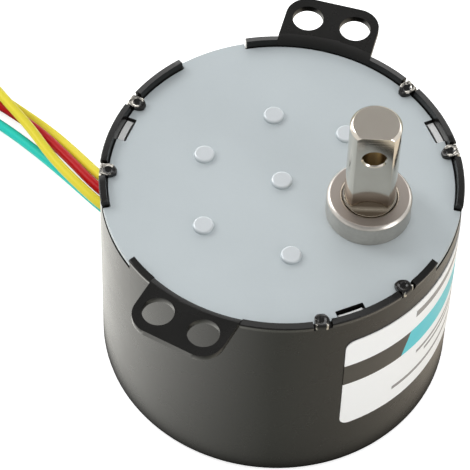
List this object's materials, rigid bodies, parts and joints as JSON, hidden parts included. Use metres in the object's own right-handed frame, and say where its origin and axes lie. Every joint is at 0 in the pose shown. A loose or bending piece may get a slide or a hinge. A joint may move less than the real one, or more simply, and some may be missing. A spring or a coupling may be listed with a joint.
{
  "type": "geared synchronous motor",
  "caption": "Round geared synchronous motor: painted can with two screw ears, pale cover plate, offset output shaft with a flat and a cross hole, bare label and coloured leads.",
  "frame": {"origin": "middle of the can's flat underside, on the can's axis", "axes": "+Z along the output shaft, up through the cover; +X from the can's axis to the output shaft; the leads leave towards -X"},
  "size_m": [0.1198, 0.0672, 0.0546],
  "materials": {
    "can_paint": "black semi-gloss stove enamel on drawn steel",
    "cover_zinc": "pale zinc plate, matt",
    "inner_steel": "bright steel",
    "pole_steel": "zinc plated steel sheet",
    "bobbin_plastic": "moulded nylon",
    "winding_copper": "enamelled copper wire",
    "magnet_ferrite": "ground ferrite",
    "hub_plastic": "moulded acetal",
    "gear_plastic": "moulded acetal",
    "washer_plastic": "laminated phenolic",
    "gear_sintered": "sintered steel",
    "shaft_steel": "turned steel, nickel plated",
    "bush_sintered": "turned and sintered steel",
    "label_film": "printed film sticker",
    "grommet_plastic": "moulded nylon, black",
    "lead_yellow": "extruded soft vinyl",
    "lead_red": "extruded soft vinyl",
    "lead_green": "extruded soft vinyl",
    "tinned_wire": "tinned copper strands",
    "tie_plastic": "moulded nylon"
  },
  "bodies": {
    "case": {"can": "can_paint", "cover_plate": "cover_zinc", "thrust_washer": "washer_plastic", "output_bush": "bush_sintered", "lower_bush": "bush_sintered", "output_washer": "inner_steel", "rating_label": "label_film", "lead_grommet": "grommet_plastic", "lead_tips": "tinned_wire", "lead_tie": "tie_plastic", "gear_case_ring": "inner_steel", "gear_plate": "inner_steel", "rotor_spindle": "inner_steel", "spindle_clip": "inner_steel", "gear_pin_1": "inner_steel", "gear_pin_2": "inner_steel", "gear_pin_3": "inner_steel", "gear_pin_4": "inner_steel", "gear_pin_5": "inner_steel", "lower_pole_plate": "pole_steel", "lower_centre_plate": "pole_steel", "upper_centre_plate": "pole_steel", "upper_pole_plate": "pole_steel", "lower_bobbin": "bobbin_plastic", "upper_bobbin": "bobbin_plastic", "lower_winding": "winding_copper", "upper_winding": "winding_copper", "lead_yellow_back": "lead_yellow", "lead_yellow_front": "lead_yellow", "lead_red": "lead_red", "lead_green": "lead_green", "coil_yellow_back": "lead_yellow", "coil_yellow_front": "lead_yellow", "coil_red": "lead_red", "coil_green": "lead_green"},
    "rotor": {"rotor_magnet": "magnet_ferrite", "rotor_hub": "hub_plastic"},
    "output": {"output_shaft": "shaft_steel", "output_gear": "gear_sintered"},
    "gear_1": {"gear_1": "gear_plastic"},
    "gear_2": {"gear_2": "gear_plastic"},
    "gear_3": {"gear_3": "gear_plastic"},
    "gear_4": {"gear_4": "gear_plastic"},
    "gear_5": {"gear_5": "gear_plastic"}
  },
  "joints": [
    {"name": "rotor_spin", "type": "hinge", "parent": "case", "child": "rotor", "pos_m": [0, 0, 0], "axis": [0, 0, 1], "continuous": true},
    {"name": "gear_1_spin", "type": "hinge", "parent": "case", "child": "gear_1", "pos_m": [0.0058, -0.0112, 0], "axis": [0, 0, 1], "continuous": true},
    {"name": "gear_2_spin", "type": "hinge", "parent": "case", "child": "gear_2", "pos_m": [-0.007, -0.01125, 0], "axis": [0, 0, 1], "continuous": true},
    {"name": "gear_3_spin", "type": "hinge", "parent": "case", "child": "gear_3", "pos_m": [-0.0115, 0, 0], "axis": [0, 0, 1], "continuous": true},
    {"name": "gear_4_spin", "type": "hinge", "parent": "case", "child": "gear_4", "pos_m": [-0.00519, 0.0101, 0], "axis": [0, 0, 1], "continuous": true},
    {"name": "gear_5_spin", "type": "hinge", "parent": "case", "child": "gear_5", "pos_m": [0.0053, 0.011, 0], "axis": [0, 0, 1], "continuous": true},
    {"name": "output_spin", "type": "hinge", "parent": "case", "child": "output", "pos_m": [0.0127, 0, 0], "axis": [0, 0, 1], "continuous": true}
  ],
  "couplings": [
    {"joint": "gear_1_spin", "follows": "rotor_spin", "ratio": -0.4},
    {"joint": "gear_2_spin", "follows": "rotor_spin", "ratio": 0.17143},
    {"joint": "gear_3_spin", "follows": "rotor_spin", "ratio": -0.068571},
    {"joint": "gear_4_spin", "follows": "rotor_spin", "ratio": 0.034286},
    {"joint": "gear_5_spin", "follows": "rotor_spin", "ratio": -0.013714},
    {"joint": "output_spin", "follows": "rotor_spin", "ratio": 0.0054857}
  ]
}
